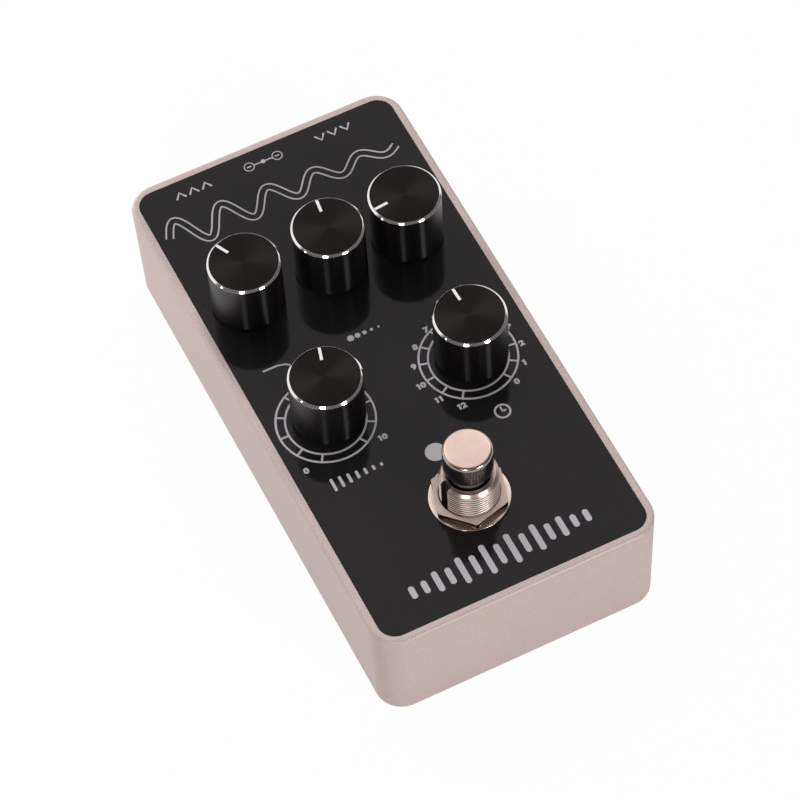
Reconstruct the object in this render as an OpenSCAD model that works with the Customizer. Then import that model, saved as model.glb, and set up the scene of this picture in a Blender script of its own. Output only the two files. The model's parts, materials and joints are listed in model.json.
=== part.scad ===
// Compact analog delay pedal: metal casing, recessed face plate, five rotary controls,
// foot button, two plug sockets and a power inlet. Millimetres, +Z up, +Y towards the sockets.

/* [Casing] */
// Casing width, left to right
body_w = 61.4; // [60:0.2:70]
// Casing length, front to back
body_l = 122.2; // [120:0.2:136]
// Casing height without the pad under it
body_h = 25.8; // [24.4:0.2:34]
// Corner radius seen from above
body_corner_r = 6.1; // [5.6:0.1:7]
// Rounding of the top outer edge
edge_r = 0.8; // [0.4:0.1:1.2]
// How far the foot of each side wall stands in from its top
wall_draft = 0.5; // [0.3:0.1:0.7]
// Side wall thickness
wall_t = 3; // [2.8:0.1:3.2]
// Thickness of the casing top under the face plate
deck_t = 2; // [1.6:0.1:2.2]
// Width of the bare rim round the face plate
rim_w = 1.75; // [1.5:0.05:2.4]

/* [Face plate] */
// Face plate thickness
plate_t = 1.5; // [1:0.1:1.6]
// Gap between face plate and rim
plate_gap = 0.1; // [0.05:0.05:0.2]
// Corner radius of the face plate
plate_corner_r = 3.6; // [3:0.1:4.2]

/* [Base] */
// Base plate thickness
base_t = 2; // [1.5:0.1:2.2]
// Gap between base plate and casing lip
base_gap = 0.15; // [0.1:0.05:0.25]
// Width of the casing lip round the base plate
lip_w = 1.6; // [1.4:0.1:1.8]
// Distance of each corner post from the outer faces
post_inset = 5; // [4.8:0.1:5.2]
// Corner post diameter
post_d = 6; // [5.6:0.1:6]
// Base screw diameter
screw_d = 2.5; // [2:0.1:2.6]
// Base screw length
screw_l = 10; // [8:0.5:12]
// Rubber pad thickness
pad_t = 1.2; // [1:0.1:2]
// Rubber pad width
pad_w = 40; // [30:1:42]
// Rubber pad length
pad_l = 112; // [80:1:112]
// Rubber pad corner radius
pad_corner_r = 4; // [2:0.5:6]

/* [Knobs] */
// Knob diameter
knob_d = 15; // [14:0.1:15.6]
// Knob height
knob_h = 13.2; // [12.6:0.1:17]
// Air gap under a knob
knob_gap = 0.8; // [0.6:0.1:1.2]
// Bright chamfer at the knob top
knob_edge = 0.45; // [0.3:0.05:0.7]
// Wall thickness at the knob top
knob_top_t = 1.5; // [1.2:0.1:2]
// Side wall thickness of a knob
knob_wall = 1.3; // [1.1:0.1:1.3]
// Pointer line length
pointer_l = 3; // [2:0.1:3.6]
// Pointer line width
pointer_w = 0.7; // [0.5:0.05:1]
// Pointer line depth
pointer_t = 0.3; // [0.2:0.05:0.4]

/* [Control places] */
// Gap between the upper row of potentiometers and the socket housings
upper_row_gap = 2.3; // [1.9:0.1:2.9]
// Lower row of knobs, distance from the middle
lower_row_y = -7.5; // [-8.5:0.1:-6.5]
// Tone knob, sideways
tone_x = -18.7; // [-19.2:0.1:-18.2]
// Age knob, sideways
age_x = -0.1; // [-0.6:0.1:0.4]
// Level knob, sideways
level_x = 17.1; // [16.4:0.1:18.4]
// Repeats knob, sideways
repeats_x = -16.2; // [-17.2:0.1:-15.2]
// Time knob, sideways
time_x = 15.5; // [14.5:0.1:17]
// Tone pointer at rest, degrees from +X
tone_turn = 117; // [-60:1:240]
// Age pointer at rest
age_turn = 83; // [-60:1:240]
// Level pointer at rest
level_turn = 185; // [-60:1:240]
// Repeats pointer at rest
repeats_turn = 74; // [-60:1:240]
// Time pointer at rest
time_turn = 92; // [-60:1:240]

/* [Potentiometers] */
// Housing width
pot_w = 9.8; // [9:0.1:11]
// Housing depth
pot_l = 11; // [10:0.1:12]
// Housing height
pot_h = 6.5; // [6.2:0.1:7]
// Threaded bush diameter
pot_bush_d = 7; // [6.8:0.1:7.4]
// Threaded bush length above the housing
pot_bush_l = 7; // [6.8:0.1:7.2]
// Shaft diameter
shaft_d = 6; // [5.6:0.05:6]
// Nut across flats
pot_nut_af = 9.5; // [9.2:0.1:9.8]
// Nut height
pot_nut_h = 2; // [1.6:0.1:2.2]
// Washer diameter
pot_washer_d = 10.4; // [10:0.1:11]
// Washer thickness
pot_washer_t = 0.5; // [0.4:0.05:0.6]

/* [Foot button] */
// Button axis, sideways
foot_x = 0; // [-1:0.1:1]
// Button axis, distance from the middle
foot_y = -37.4; // [-38:0.1:-36.8]
// Threaded bush diameter
foot_bush_d = 12; // [11.6:0.1:12.4]
// Height of the bush over the face plate
foot_bush_h = 9.1; // [8.6:0.1:11]
// Thread pitch of the bush
foot_pitch = 0.75; // [0.65:0.05:1]
// Depth of a thread groove
foot_groove = 0.28; // [0.15:0.01:0.35]
// Rounding of the bush top
foot_bush_round = 0.9; // [0.5:0.1:1]
// Key slot width in the bush
foot_slot_w = 2; // [1.2:0.1:2.4]
// Key slot depth in the bush
foot_slot_t = 1; // [0.6:0.1:1.1]
// Button head diameter
head_d = 10; // [9.4:0.1:10.6]
// Button head height
head_h = 5.8; // [4.6:0.1:7]
// Rounding of the button head
head_round = 0.8; // [0.4:0.1:1.2]
// Button neck diameter
neck_d = 8.3; // [7.8:0.1:8.4]
// Free travel of the button
press_travel = 2.2; // [1.5:0.1:2.6]
// Nut across flats
foot_nut_af = 14; // [13.6:0.1:14.6]
// Nut height
foot_nut_h = 1.7; // [1.5:0.1:2.2]
// Nut turned about the axis, degrees
foot_nut_turn = 14; // [0:1:60]
// Washer diameter
foot_washer_d = 16.4; // [16.2:0.1:17]
// Washer thickness
foot_washer_t = 0.5; // [0.4:0.05:0.8]
// Switch housing side
switch_w = 16; // [15:0.2:16]

/* [Sockets] */
// Gap between the output socket and the corner post beside it
output_post_gap = 0.6; // [0.4:0.1:1.4]
// Power inlet, sideways
power_x = -0.3; // [-0.6:0.1:0.2]
// Gap between the input socket and the corner post beside it
input_post_gap = 1.2; // [0.7:0.1:1.9]
// Socket housing width
jack_w = 11.6; // [11:0.1:11.8]
// Socket housing height
jack_h = 12.8; // [12:0.1:13]
// Socket housing length behind the wall
jack_l = 25.4; // [24:0.2:25.6]
// Plug hole diameter
jack_bore_d = 6.5; // [6.4:0.05:6.6]
// Socket bush diameter
jack_bush_d = 9.4; // [9:0.1:9.8]
// Socket bush length outside the wall
jack_out = 4; // [3.6:0.1:4.4]
// Thread pitch of a socket bush
jack_pitch = 0.6; // [0.5:0.05:0.75]
// Depth of a socket thread groove
jack_groove = 0.24; // [0.15:0.01:0.3]
// Chamfer at the end of a socket bush
jack_edge = 0.2; // [0.1:0.05:0.3]
// Socket nut across flats
jack_nut_af = 13; // [12.6:0.1:13.4]
// Socket nut height
jack_nut_h = 2; // [1.8:0.1:2.2]
// Socket washer diameter
jack_washer_d = 14; // [13.4:0.1:14.4]
// Socket washer thickness
jack_washer_t = 0.6; // [0.4:0.1:0.8]
// Power inlet housing width
power_w = 9.2; // [9:0.1:9.6]
// Power inlet housing height
power_h = 11; // [10.6:0.1:12]
// Power inlet housing length behind the wall
power_l = 14; // [13:0.2:15]
// Power inlet barrel diameter
power_barrel_d = 8.4; // [8.2:0.1:8.8]
// Power plug hole diameter
power_bore_d = 5.6; // [5.5:0.05:5.8]
// Power plug hole depth
power_depth = 11; // [10:0.2:12]
// Power pin diameter
power_pin_d = 2.1; // [2:0.05:2.1]

/* [Boards and light] */
// Circuit board thickness
board_t = 1.6; // [1.2:0.1:1.6]
// Height of the lower boards over the base plate
board_rise = 1.8; // [1.6:0.1:2.2]
// Light window diameter
window_d = 4.2; // [4:0.1:4.4]
// Light window, sideways
window_x = -1.3; // [-1.6:0.1:-1]
// Light window, distance from the middle
window_y = -25; // [-25.4:0.1:-24.8]

/* [Fits] */
// Radial running gap of the shafts and the button neck
run_gap = 0.05; // [0.03:0.01:0.08]
// Radial gap of pressed pieces
press_gap = 0.02; // [0.01:0.01:0.04]
// Radial gap of nuts and screws on their threads
thread_gap = 0.05; // [0.03:0.01:0.08]
// Radial gap of holes round a bush
hole_gap = 0.2; // [0.15:0.05:0.3]
// Radial gap of board holes round a pin
pin_gap = 0.3; // [0.3:0.05:0.4]

/* [Hidden] */
$fn = 64;

// Small extra length that lets a cut run clear of the face it starts from
eps = 0.5;
// Points on a quarter-round of a turned profile
arc_n = 8;

// Heights of the stack, from the pad underside upwards
z_base = pad_t;
z_floor = z_base + base_t;
z_face = z_base + body_h;
z_recess = z_face - plate_t;
z_deck = z_recess - deck_t;
z_board_top = z_deck - pot_h;
z_board = z_board_top - board_t;
z_low = z_floor + board_rise;
z_low_top = z_low + board_t;

// Back wall faces
y_out = body_l / 2;
y_in = y_out - wall_t;

// Places of the five controls: x, y
upper_row_y = y_in - jack_l - upper_row_gap - pot_l / 2;
tone_at = [tone_x, upper_row_y];
age_at = [age_x, upper_row_y];
level_at = [level_x, upper_row_y];
repeats_at = [repeats_x, lower_row_y];
time_at = [time_x, lower_row_y];
control_places = [tone_at, age_at, level_at, repeats_at, time_at];

// Corner posts and base screws
post_x = body_w / 2 - post_inset;
post_y = body_l / 2 - post_inset;
screw_head_d = 1.8 * screw_d;
screw_head_h = (screw_head_d - screw_d) / 2;
screw_end_gap = 1;

// Knob and shaft heights
z_knob = z_face + knob_gap;
z_knob_top = z_knob + knob_h;
z_knob_bore = z_knob_top - knob_top_t;
z_pot_bush = z_deck + pot_bush_l;
insert_rise = 0.4;
z_insert = z_pot_bush + insert_rise;
shaft_free = 0.3;
z_shaft_top = z_knob_bore - knob_top_t / 2;
shaft_sink = 4;
knob_bore_d = knob_d - 2 * knob_wall;
pointer_rim = 0.1;
pot_cut_d = pot_bush_d + 2 * hole_gap;

// Potentiometer pins
pot_pin_d = 0.8;
pot_pin_pitch = 2.5;
pot_pin_y = 4;
pin_out = 1;

// Footswitch
foot_bore_d = neck_d + 2 * run_gap;
z_foot_bush = z_face + foot_bush_h;
head_rest = 0.25;
z_head = z_foot_bush + press_travel + head_rest;
z_nut = z_face + foot_washer_t;
z_nut_top = z_nut + foot_nut_h;
switch_top_t = 1;
z_cavity_top = z_deck - switch_top_t;
switch_lift = 2.3;
z_switch = z_low_top + switch_lift;
switch_floor_t = 1.5;
z_cavity = z_switch + switch_floor_t;
cavity_d = 13;
flange_d = 10.8;
flange_t = 1.5;
flange_rest = 0.1;
z_flange_top = z_cavity_top - flange_rest;
z_flange = z_flange_top - flange_t;
foot_cut_d = foot_bush_d + 2 * hole_gap;

// Return spring
wire_d = 0.7;
coil_d = 7;
coil_turns = 4;
coil_steps = 18;
wire_sides = 8;
coil_end = 0.05;
z_coil = z_cavity + wire_d / 2 + coil_end;
coil_rise = z_flange - z_cavity - wire_d - 2 * coil_end;
coil_gap = coil_rise / coil_turns - wire_d;
echo(least_coil_gap = coil_gap);

// Switch terminals
terminal_d = 1.2;
terminal_x = 5;

// Sockets
jack_reach = post_x - post_d / 2 - jack_w / 2;
output_x = -jack_reach + output_post_gap;
input_x = jack_reach - input_post_gap;
z_jack = z_low_top + jack_h / 2;
y_jack_end = y_out + jack_out;
jack_back_t = 1.4;
jack_bore_l = jack_out + wall_t + jack_l - jack_back_t;
jack_places = [input_x, output_x];
jack_pin_d = 1;
jack_pin_x = 3.5;
jack_pin_rows = [4, 11, 18];
z_power = z_low_top + power_h / 2;
power_out = 0.6;
y_power_end = y_out + power_out;
power_pin_short = 1;
power_pin_l = power_depth - power_pin_short;

// Boards
board_edge_gap = 1.5;
board_w = body_w - 2 * wall_t - 2 * board_edge_gap;
board_jack_gap = 0.5;
board_switch_gap = 1.2;
board_y0 = foot_y + switch_w / 2 + board_switch_gap;
board_y1 = y_in - jack_l - board_jack_gap;
low_jack_x0 = output_x - jack_w / 2;
low_jack_x1 = input_x + jack_w / 2;
low_jack_overlap = 3.4;
low_jack_y0 = board_y1 - low_jack_overlap;
low_jack_y1 = y_in - board_edge_gap / 2;
low_switch_half = 14.5;
low_switch_overlap = 6.5;
low_switch_y0 = foot_y - switch_w / 2;
low_switch_y1 = board_y0 + low_switch_overlap;
header_w = 2.5;
header_pitch = 2.54;
header_pins = 4;
header_pin_d = 0.64;
switch_header_x = 8;
switch_header_inset = 4;
jack_header_at = [power_x, (upper_row_y + pot_l / 2 + board_y1) / 2];
switch_header_at = [switch_header_x, board_y0 + switch_header_inset];
header_places = [jack_header_at, switch_header_at];

// Chips: body length, width, height, stand-off and leg sizes
chip_l = 19.5;
chip_w = 6.4;
chip_h = 3.4;
chip_lift = 0.6;
chip_legs = 8;
chip_leg_w = 0.5;
chip_leg_t = 0.3;
chip_x = [-8, 9];
chip_y = 8;

// Capacitors: x, y, diameter, height
cap_list = [[-21, 8, 6.3, 6.4], [-21, -2, 6.3, 6.4], [21, 8, 5, 6], [21, 1, 5, 6], [0, -14, 5, 6]];
cap_lift = 0.3;
cap_lead_d = 0.5;
cap_lead_gap = 2;

// Status lamp
led_d = 3;
led_flange_d = 3.8;
led_flange_h = 1;
led_body_h = 1.8;
led_lift = 1;
led_lead_d = 0.5;
led_lead_gap = 2.54;
light_hole_d = 3.2;

metal_c = [0.74, 0.67, 0.65];
black_c = [0.04, 0.04, 0.045];
print_c = [0.9, 0.9, 0.9];
steel_c = [0.8, 0.76, 0.72];
board_c = [0.08, 0.3, 0.16];
brass_c = [0.78, 0.62, 0.32];
rubber_c = [0.07, 0.07, 0.07];
lens_c = [0.62, 0.61, 0.64];

// Upright block with rounded corners, its underside at z = 0
module rounded_block(w, l, h, r) {
  translate([-w / 2 + r, -l / 2, 0]) cube([w - 2 * r, l, h]);
  translate([-w / 2, -l / 2 + r, 0]) cube([w, l - 2 * r, h]);
  for (sx = [-1, 1], sy = [-1, 1])
    translate([sx * (w / 2 - r), sy * (l / 2 - r), 0]) cylinder(r = r, h = h);
}

// Waste outside a wall: its top edge is rounded by e, and its foot stands in by d at the depth h
module wall_waste(e, d, h) {
  difference() {
    translate([-e, -e]) square([e + eps, e + eps]);
    translate([-e, -e]) circle(r = e);
    translate([-2 * e, -2 * e]) square([2 * e, e]);
    translate([-2 * e, -2 * e]) square([e, 2 * e]);
  }
  polygon([[0, -e], [eps, -e], [eps, -h - eps], [-d * (h + eps - e) / (h - e), -h - eps]]);
}

// Cutter for the walls of a block whose top is at z = 0
module wall_cutter(w, l, r, e, d, h) {
  for (s = [-1, 1]) {
    translate([s * w / 2, 0, 0]) rotate([90, 0, 0]) mirror([s < 0 ? 1 : 0, 0, 0])
      linear_extrude(height = l - 2 * r, center = true) wall_waste(e, d, h);
    translate([0, s * l / 2, 0]) rotate([90, 0, 90]) mirror([s < 0 ? 1 : 0, 0, 0])
      linear_extrude(height = w - 2 * r, center = true) wall_waste(e, d, h);
  }
  for (k = [0 : 3]) {
    sx = (k == 0 || k == 3) ? 1 : -1;
    sy = k < 2 ? 1 : -1;
    translate([sx * (w / 2 - r), sy * (l / 2 - r), 0]) rotate([0, 0, 90 * k])
      rotate_extrude(angle = 90) translate([r, 0]) wall_waste(e, d, h);
  }
}

// Six-sided nut with its upper corners turned down, underside at z = 0
module hex_nut(af, h, hole_d) {
  corner_d = af / cos(30);
  turn_h = (corner_d - af) / 2 * tan(30);
  difference() {
    intersection() {
      cylinder(d = corner_d, h = h, $fn = 6);
      union() {
        cylinder(d = corner_d, h = h - turn_h);
        translate([0, 0, h - turn_h]) cylinder(d1 = corner_d, d2 = af, h = turn_h);
      }
    }
    translate([0, 0, -eps]) cylinder(d = hole_d, h = h + 2 * eps);
  }
}

// Outer edge of a ring thread that starts at height z: one ridge and one groove a turn
function thread_edge(r, z, turns, pitch, groove) = [for (k = [0 : turns - 1], j = [0 : 1])
  [r - j * groove, z + (k + j / 2) * pitch]];

module ring(d, hole_d, h) {
  difference() {
    cylinder(d = d, h = h);
    translate([0, 0, -eps]) cylinder(d = hole_d, h = h + 2 * eps);
  }
}

// Round hole from z0 up to z1 at the place p
module hole(p, d, z0, z1) {
  translate([p[0], p[1], z0 - eps]) cylinder(d = d, h = z1 - z0 + 2 * eps);
}

// Cylinder along +Y from y0 to y1, through x and z
module along_y(x, z, d, y0, y1) {
  translate([x, y0, z]) rotate([-90, 0, 0]) cylinder(d = d, h = y1 - y0);
}

module casing() {
  color(metal_c) difference() {
    union() {
      difference() {
        translate([0, 0, z_base]) rounded_block(body_w, body_l, body_h, body_corner_r);
        translate([0, 0, z_base - eps]) rounded_block(body_w - 2 * wall_t, body_l - 2 * wall_t,
          z_deck - z_base + eps, body_corner_r - wall_t);
        translate([0, 0, z_face]) wall_cutter(body_w, body_l, body_corner_r, edge_r, wall_draft, body_h);
      }
      for (sx = [-1, 1], sy = [-1, 1])
        translate([sx * post_x, sy * post_y, z_floor]) cylinder(d = post_d, h = z_deck - z_floor);
      for (x = jack_places) along_y(x, z_jack, jack_washer_d + 2 * hole_gap, y_in, y_out);
    }
    translate([0, 0, z_base - eps]) rounded_block(body_w - 2 * lip_w, body_l - 2 * lip_w,
      base_t + eps, body_corner_r - lip_w);
    translate([0, 0, z_recess]) rounded_block(body_w - 2 * rim_w, body_l - 2 * rim_w,
      plate_t + eps, plate_corner_r + plate_gap);
    for (sx = [-1, 1], sy = [-1, 1])
      hole([sx * post_x, sy * post_y], screw_d + 2 * thread_gap, z_floor, z_base + screw_l);
    for (p = control_places) hole(p, pot_cut_d, z_deck, z_recess);
    hole([foot_x, foot_y], foot_cut_d, z_deck, z_recess);
    hole([window_x, window_y], light_hole_d, z_deck, z_recess);
    for (x = jack_places) along_y(x, z_jack, jack_bush_d + 2 * hole_gap, y_in - eps, y_out + eps);
    along_y(power_x, z_power, power_barrel_d + 2 * hole_gap, y_in - eps, y_out + eps);
  }
}

module base_plate() {
  color(metal_c) difference() {
    translate([0, 0, z_base]) rounded_block(body_w - 2 * lip_w - 2 * base_gap,
      body_l - 2 * lip_w - 2 * base_gap, base_t, body_corner_r - lip_w - base_gap);
    for (sx = [-1, 1], sy = [-1, 1]) {
      hole([sx * post_x, sy * post_y], screw_d + 2 * thread_gap, z_base, z_floor);
      translate([sx * post_x, sy * post_y, z_base])
        cylinder(d1 = screw_head_d + 2 * thread_gap, d2 = screw_d + 2 * thread_gap, h = screw_head_h);
    }
  }
}

module base_screws() {
  socket_t = 0.7;
  color(steel_c) for (sx = [-1, 1], sy = [-1, 1]) translate([sx * post_x, sy * post_y, z_base])
    difference() {
      union() {
        cylinder(d1 = screw_head_d, d2 = screw_d, h = screw_head_h);
        cylinder(d = screw_d, h = screw_l - screw_end_gap);
      }
      for (a = [0, 90]) rotate([0, 0, a])
        translate([-screw_d / 2, -screw_d / 8, -eps]) cube([screw_d, screw_d / 4, socket_t + eps]);
    }
}

module base_pad() {
  color(rubber_c) rounded_block(pad_w, pad_l, pad_t, pad_corner_r);
}

module face_plate() {
  color(black_c) difference() {
    translate([0, 0, z_recess]) rounded_block(body_w - 2 * rim_w - 2 * plate_gap,
      body_l - 2 * rim_w - 2 * plate_gap, plate_t, plate_corner_r);
    for (p = control_places) hole(p, pot_cut_d, z_recess, z_face);
    hole([foot_x, foot_y], foot_cut_d, z_recess, z_face);
    hole([window_x, window_y], window_d + 2 * press_gap, z_recess, z_face);
  }
}

module light_window() {
  color(lens_c) translate([window_x, window_y, z_recess]) cylinder(d = window_d, h = plate_t);
}

module status_led() {
  z_led = z_board_top + led_lift;
  color(lens_c) translate([window_x, window_y, 0]) {
    translate([0, 0, z_led]) cylinder(d = led_flange_d, h = led_flange_h);
    translate([0, 0, z_led]) cylinder(d = led_d, h = led_flange_h + led_body_h);
    translate([0, 0, z_led + led_flange_h + led_body_h]) intersection() {
      sphere(d = led_d);
      cylinder(d = led_d + eps, h = led_d);
    }
    for (s = [-1, 1]) translate([s * led_lead_gap / 2, 0, z_board - pin_out])
      cylinder(d = led_lead_d, h = z_led - z_board + pin_out);
  }
}

module main_board() {
  color(board_c) difference() {
    translate([-board_w / 2, board_y0, z_board]) cube([board_w, board_y1 - board_y0, board_t]);
    for (p = control_places, k = [-1 : 1])
      hole([p[0] + k * pot_pin_pitch, p[1] - pot_pin_y], pot_pin_d + 2 * pin_gap, z_board, z_board_top);
    for (h = header_places, k = [0 : header_pins - 1])
      hole([h[0] + (k - (header_pins - 1) / 2) * header_pitch, h[1]], header_pin_d + 2 * pin_gap,
        z_board, z_board_top);
    for (s = [-1, 1]) hole([window_x + s * led_lead_gap / 2, window_y], led_lead_d + 2 * pin_gap,
      z_board, z_board_top);
  }
}

module jack_board() {
  color(board_c) difference() {
    translate([low_jack_x0, low_jack_y0, z_low])
      cube([low_jack_x1 - low_jack_x0, low_jack_y1 - low_jack_y0, board_t]);
    for (x = jack_places, y = jack_pin_rows, s = [-1, 1])
      hole([x + s * jack_pin_x, y_in - y], jack_pin_d + 2 * pin_gap, z_low, z_low_top);
    for (k = [0 : header_pins - 1])
      hole([jack_header_at[0] + (k - (header_pins - 1) / 2) * header_pitch, jack_header_at[1]],
        header_pin_d + 2 * pin_gap, z_low, z_low_top);
  }
}

module switch_board() {
  color(board_c) difference() {
    translate([foot_x - low_switch_half, low_switch_y0, z_low])
      cube([2 * low_switch_half, low_switch_y1 - low_switch_y0, board_t]);
    for (s = [-1, 1])
      hole([foot_x + s * terminal_x, foot_y], terminal_d + 2 * pin_gap, z_low, z_low_top);
    for (k = [0 : header_pins - 1])
      hole([switch_header_at[0] + (k - (header_pins - 1) / 2) * header_pitch, switch_header_at[1]],
        header_pin_d + 2 * pin_gap, z_low, z_low_top);
  }
}

module board_headers() {
  color(black_c) for (h = header_places) translate([h[0], h[1], 0]) {
    translate([-header_pins * header_pitch / 2, -header_w / 2, z_low_top])
      cube([header_pins * header_pitch, header_w, z_board - z_low_top]);
    for (k = [0 : header_pins - 1])
      translate([(k - (header_pins - 1) / 2) * header_pitch, 0, z_low - pin_out])
        cylinder(d = header_pin_d, h = z_board_top - z_low + 2 * pin_out);
  }
}

module delay_chips() {
  leg_pitch = header_pitch;
  color(black_c) for (x = chip_x) translate([x, chip_y, z_board]) {
    translate([-chip_w / 2, -chip_l / 2, -chip_lift - chip_h]) cube([chip_w, chip_l, chip_h]);
    for (s = [-1, 1], k = [0 : chip_legs - 1])
      translate([s * chip_w / 2 - chip_leg_t / 2, (k - (chip_legs - 1) / 2) * leg_pitch - chip_leg_w / 2,
        -chip_lift - chip_h / 2]) cube([chip_leg_t, chip_leg_w, chip_lift + chip_h / 2]);
  }
}

module capacitors() {
  color(black_c) for (c = cap_list) translate([c[0], c[1], z_board]) {
    translate([0, 0, -cap_lift - c[3]]) cylinder(d = c[2], h = c[3]);
    for (s = [-1, 1]) translate([s * cap_lead_gap / 2, 0, -cap_lift - cap_lead_d])
      cylinder(d = cap_lead_d, h = cap_lift + cap_lead_d);
  }
}

module pot_nuts() {
  color(steel_c) for (p = control_places) translate([p[0], p[1], z_face + pot_washer_t])
    hex_nut(pot_nut_af, pot_nut_h, pot_bush_d + 2 * thread_gap);
}

module pot_washers() {
  color(steel_c) for (p = control_places) translate([p[0], p[1], z_face])
    ring(pot_washer_d, pot_cut_d, pot_washer_t);
}

module pot_pins() {
  color(brass_c) for (p = control_places, k = [-1 : 1])
    translate([p[0] + k * pot_pin_pitch, p[1] - pot_pin_y, z_board - pin_out])
      cylinder(d = pot_pin_d, h = board_t + pin_out);
}

// Potentiometer housing and its threaded bush
module pot_body(p) {
  color(steel_c) translate([p[0], p[1], 0]) difference() {
    union() {
      translate([-pot_w / 2, -pot_l / 2, z_board_top]) cube([pot_w, pot_l, pot_h]);
      translate([0, 0, z_deck]) cylinder(d = pot_bush_d, h = pot_bush_l);
    }
    translate([0, 0, z_deck - shaft_sink])
      cylinder(d = shaft_d + 2 * run_gap, h = shaft_sink + pot_bush_l + eps);
  }
}

module pot_shaft(p) {
  z_end = z_deck - shaft_sink;
  color(steel_c) translate([p[0], p[1], z_end]) cylinder(d = shaft_d, h = z_shaft_top - z_end);
}

// Core that grips the shaft inside a knob
module knob_insert(p) {
  color(rubber_c) translate([p[0], p[1], z_insert]) difference() {
    cylinder(d = knob_bore_d - 2 * press_gap, h = z_knob_bore - z_insert);
    translate([0, 0, -eps])
      cylinder(d = shaft_d + 2 * press_gap, h = z_shaft_top - z_insert + shaft_free + eps);
  }
}

module pointer_bar() {
  r_end = knob_d / 2 - knob_edge - pointer_rim;
  translate([r_end - pointer_l, -pointer_w / 2, z_knob_top - pointer_t])
    cube([pointer_l, pointer_w, pointer_t]);
}

module knob_shell(p, turn) {
  color(black_c) translate([p[0], p[1], 0]) rotate([0, 0, turn]) difference() {
    translate([0, 0, z_knob]) union() {
      cylinder(d = knob_d, h = knob_h - knob_edge);
      translate([0, 0, knob_h - knob_edge])
        cylinder(d1 = knob_d, d2 = knob_d - 2 * knob_edge, h = knob_edge);
    }
    translate([0, 0, z_knob - eps]) cylinder(d = knob_bore_d, h = z_knob_bore - z_knob + eps);
    pointer_bar();
  }
}

module knob_pointer(p, turn) {
  color(print_c) translate([p[0], p[1], 0]) rotate([0, 0, turn]) pointer_bar();
}

module tone_pot() {
  pot_body(tone_at);
}

module tone_shaft() {
  pot_shaft(tone_at);
}

module tone_insert() {
  knob_insert(tone_at);
}

module tone_knob() {
  knob_shell(tone_at, tone_turn);
}

module tone_pointer() {
  knob_pointer(tone_at, tone_turn);
}

module age_pot() {
  pot_body(age_at);
}

module age_shaft() {
  pot_shaft(age_at);
}

module age_insert() {
  knob_insert(age_at);
}

module age_knob() {
  knob_shell(age_at, age_turn);
}

module age_pointer() {
  knob_pointer(age_at, age_turn);
}

module level_pot() {
  pot_body(level_at);
}

module level_shaft() {
  pot_shaft(level_at);
}

module level_insert() {
  knob_insert(level_at);
}

module level_knob() {
  knob_shell(level_at, level_turn);
}

module level_pointer() {
  knob_pointer(level_at, level_turn);
}

module repeats_pot() {
  pot_body(repeats_at);
}

module repeats_shaft() {
  pot_shaft(repeats_at);
}

module repeats_insert() {
  knob_insert(repeats_at);
}

module repeats_knob() {
  knob_shell(repeats_at, repeats_turn);
}

module repeats_pointer() {
  knob_pointer(repeats_at, repeats_turn);
}

module time_pot() {
  pot_body(time_at);
}

module time_shaft() {
  pot_shaft(time_at);
}

module time_insert() {
  knob_insert(time_at);
}

module time_knob() {
  knob_shell(time_at, time_turn);
}

module time_pointer() {
  knob_pointer(time_at, time_turn);
}

// Head, neck and retaining flange turned in one piece
module foot_button() {
  r = head_d / 2;
  z_top = z_head + head_h;
  top_arc = [for (k = [0 : arc_n])
    [r - head_round + head_round * cos(90 * k / arc_n),
     z_top - head_round + head_round * sin(90 * k / arc_n)]];
  profile = concat([[0, z_flange], [flange_d / 2, z_flange], [flange_d / 2, z_flange_top],
    [neck_d / 2, z_flange_top], [neck_d / 2, z_head], [r, z_head]], top_arc, [[0, z_top]]);
  color(steel_c) translate([foot_x, foot_y, 0]) rotate_extrude() polygon(profile);
}

// Threaded bush: grooves run from just over the nut to the smooth collar
module switch_bush() {
  r = foot_bush_d / 2;
  z_thread = z_nut_top + foot_pitch / 2;
  collar = foot_bush_round + foot_pitch / 2;
  turns = floor((z_foot_bush - collar - z_thread) / foot_pitch);
  thread = thread_edge(r, z_thread, turns, foot_pitch, foot_groove);
  z_smooth = z_thread + turns * foot_pitch;
  top_arc = [for (k = [0 : arc_n])
    [r - foot_bush_round + foot_bush_round * cos(90 * k / arc_n),
     z_foot_bush - foot_bush_round + foot_bush_round * sin(90 * k / arc_n)]];
  profile = concat([[foot_bore_d / 2, z_cavity_top], [r, z_cavity_top]], thread, [[r, z_smooth]],
    top_arc, [[foot_bore_d / 2, z_foot_bush]]);
  color(steel_c) translate([foot_x, foot_y, 0]) difference() {
    rotate_extrude() polygon(profile);
    translate([-r - eps, -foot_slot_w / 2, z_face])
      cube([foot_slot_t + eps, foot_slot_w, foot_bush_h + eps]);
  }
}

module switch_nut() {
  color(steel_c) translate([foot_x, foot_y, z_nut]) rotate([0, 0, foot_nut_turn])
    hex_nut(foot_nut_af, foot_nut_h, foot_bush_d + 2 * thread_gap);
}

module switch_washer() {
  color(steel_c) translate([foot_x, foot_y, z_face]) ring(foot_washer_d, foot_cut_d, foot_washer_t);
}

module switch_housing() {
  color(rubber_c) translate([foot_x, foot_y, 0]) difference() {
    translate([-switch_w / 2, -switch_w / 2, z_switch]) cube([switch_w, switch_w, z_deck - z_switch]);
    translate([0, 0, z_cavity]) cylinder(d = cavity_d, h = z_cavity_top - z_cavity);
    translate([0, 0, z_cavity_top - eps])
      cylinder(d = foot_bush_d + 2 * press_gap, h = switch_top_t + 2 * eps);
  }
}

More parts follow.
